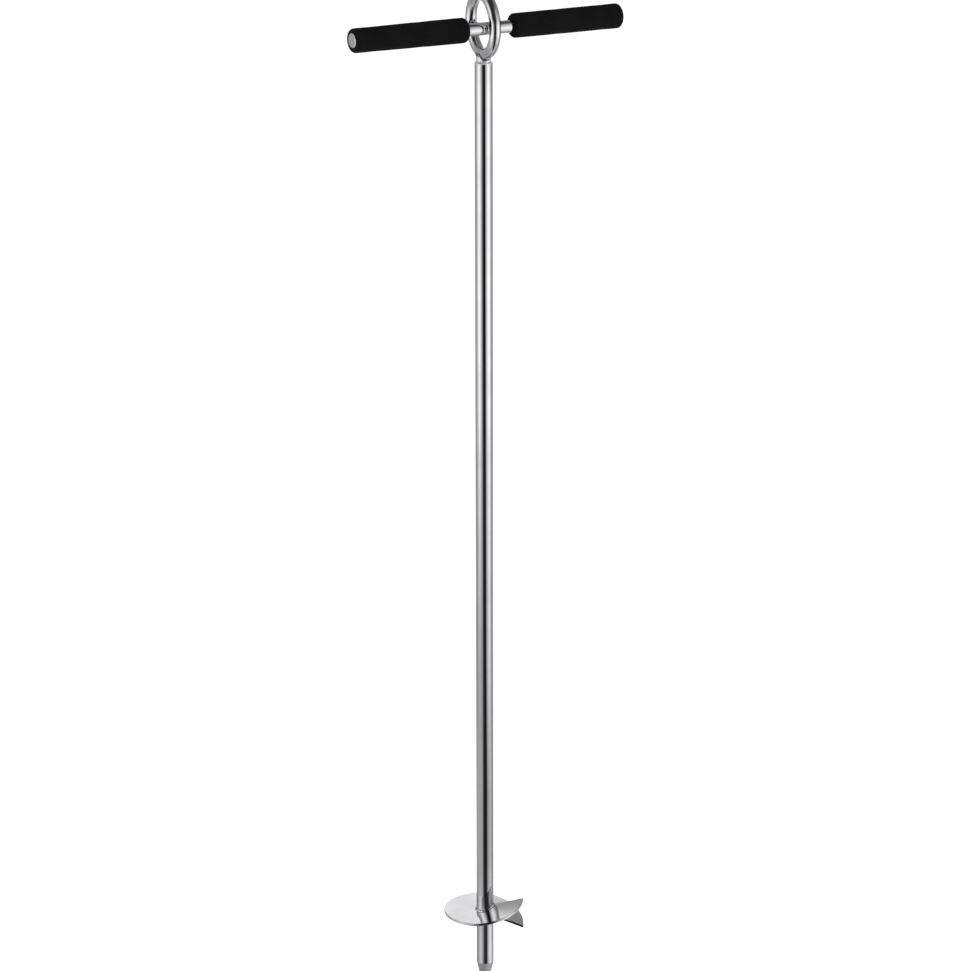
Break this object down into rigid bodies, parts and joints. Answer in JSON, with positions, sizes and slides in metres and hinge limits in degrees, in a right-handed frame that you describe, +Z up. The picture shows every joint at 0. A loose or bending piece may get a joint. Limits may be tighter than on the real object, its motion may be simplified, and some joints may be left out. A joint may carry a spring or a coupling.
{
  "type": "hand auger",
  "caption": "Polished steel hand auger with a slim tube shaft, split screw blade and conical point, a welded eye at the top and a cross handle with black foam grips.",
  "frame": {"origin": "the tip of the point on the shaft's axis, where the auger enters the ground", "axes": "+Z up the shaft from the point to the eye, +X along the cross handle, +Y across the handle to the back"},
  "size_m": [0.3038, 0.0903, 1.1399],
  "materials": {
    "polished_steel": "mirror-polished stainless steel",
    "turned_steel": "fine turned stainless steel, satin",
    "weld_metal": "polished weld bead",
    "black_foam": "matte closed-cell foam"
  },
  "bodies": {
    "root": {"shaft_tube": "polished_steel", "eye_stem": "polished_steel", "eye_ring": "polished_steel", "handle_bar": "polished_steel", "cross_rod": "polished_steel", "screw_blade": "polished_steel", "point": "turned_steel", "end_plug_left": "turned_steel", "end_plug_right": "turned_steel", "stem_weld": "weld_metal", "eye_weld": "weld_metal", "rod_front_weld": "weld_metal", "rod_eye_weld": "weld_metal", "rod_bar_weld": "weld_metal", "blade_weld_top": "weld_metal", "blade_weld_bottom": "weld_metal", "grip_left": "black_foam", "grip_right": "black_foam"}
  },
  "joints": []
}
